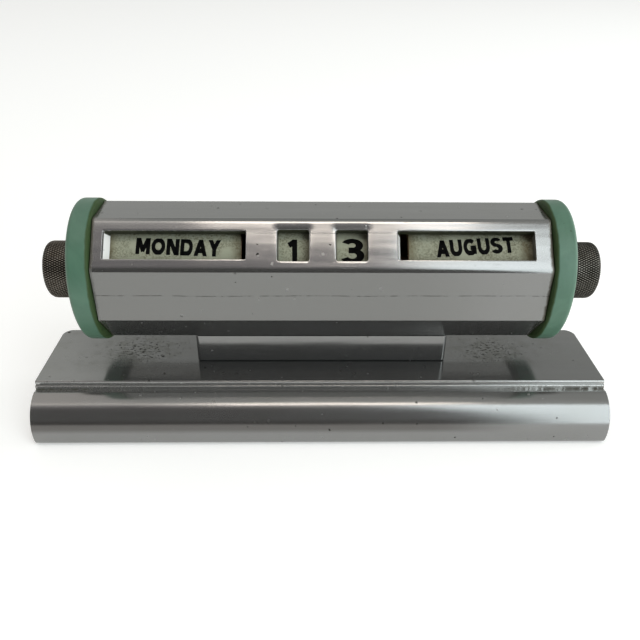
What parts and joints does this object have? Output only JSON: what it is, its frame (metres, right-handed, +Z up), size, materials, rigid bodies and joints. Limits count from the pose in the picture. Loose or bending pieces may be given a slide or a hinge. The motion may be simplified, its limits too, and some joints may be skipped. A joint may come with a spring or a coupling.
{
  "type": "desk calendar",
  "caption": "Drum desk calendar: an octagonal aluminium tube with green end caps and knurled knobs turns printed drums behind its windows, on a pedestal and an extruded base.",
  "frame": {"origin": "on the desk, below the middle of the calendar's box", "axes": "+X along the drums to the month knob, +Y away from the reader, +Z up"},
  "size_m": [0.165, 0.0482, 0.0625],
  "materials": {
    "aluminium": "polished, aged, with pits and fine scratches",
    "green_plastic": "worn satin, faintly marbled",
    "dark_metal": "diamond knurled, tarnished",
    "steel": "turned",
    "brass": "turned",
    "tinplate": "dull tin",
    "label_paper": "aged, printed in black",
    "brown_fibre": "pressed fibre",
    "felt": "felt"
  },
  "bodies": {
    "case": {"base": "aluminium", "pedestal": "aluminium", "pedestal_screw_left": "steel", "pedestal_screw_right": "steel", "tube": "aluminium", "centre_bearing": "tinplate", "end_cap_left": "green_plastic", "bush_left": "brass", "partition_left": "brown_fibre", "brake_ring_left": "felt", "end_cap_right": "green_plastic", "bush_right": "brass", "partition_right": "brown_fibre", "brake_ring_right": "felt"},
    "weekday": {"weekday_drum": "tinplate", "weekday_label": "label_paper"},
    "left_knob": {"knob_left": "dark_metal", "knob_screw_left": "steel", "shaft_left": "steel", "drive_pin_left": "steel", "retaining_ring_left": "steel", "return_spring_left": "steel", "clutch_collar_left": "brass", "clutch_washer_left": "brown_fibre"},
    "tens": {"tens_drum": "tinplate", "tens_label": "label_paper"},
    "month": {"month_drum": "tinplate", "month_label": "label_paper"},
    "right_knob": {"knob_right": "dark_metal", "knob_screw_right": "steel", "shaft_right": "steel", "drive_pin_right": "steel", "retaining_ring_right": "steel", "return_spring_right": "steel", "clutch_collar_right": "brass", "clutch_washer_right": "brown_fibre"},
    "units": {"units_drum": "tinplate", "units_label": "label_paper"}
  },
  "joints": [
    {"name": "weekday_turn", "type": "hinge", "parent": "case", "child": "weekday", "pos_m": [0, 0.00427, 0.0426], "axis": [1, 0, 0], "continuous": true},
    {"name": "tens_turn", "type": "hinge", "parent": "case", "child": "tens", "pos_m": [0, 0.00427, 0.0426], "axis": [1, 0, 0], "continuous": true},
    {"name": "units_turn", "type": "hinge", "parent": "case", "child": "units", "pos_m": [0, 0.00427, 0.0426], "axis": [1, 0, 0], "continuous": true},
    {"name": "month_turn", "type": "hinge", "parent": "case", "child": "month", "pos_m": [0, 0.00427, 0.0426], "axis": [1, 0, 0], "continuous": true},
    {"name": "left_pull", "type": "slide", "parent": "weekday", "child": "left_knob", "axis": [-1, 0, 0], "range_m": [0, 0.004], "stiffness_N_per_m": 200, "springref_m": -0.004, "deforming": ["return_spring_left"]},
    {"name": "right_pull", "type": "slide", "parent": "month", "child": "right_knob", "axis": [1, 0, 0], "range_m": [0, 0.004], "stiffness_N_per_m": 200, "springref_m": -0.004, "deforming": ["return_spring_right"]}
  ]
}
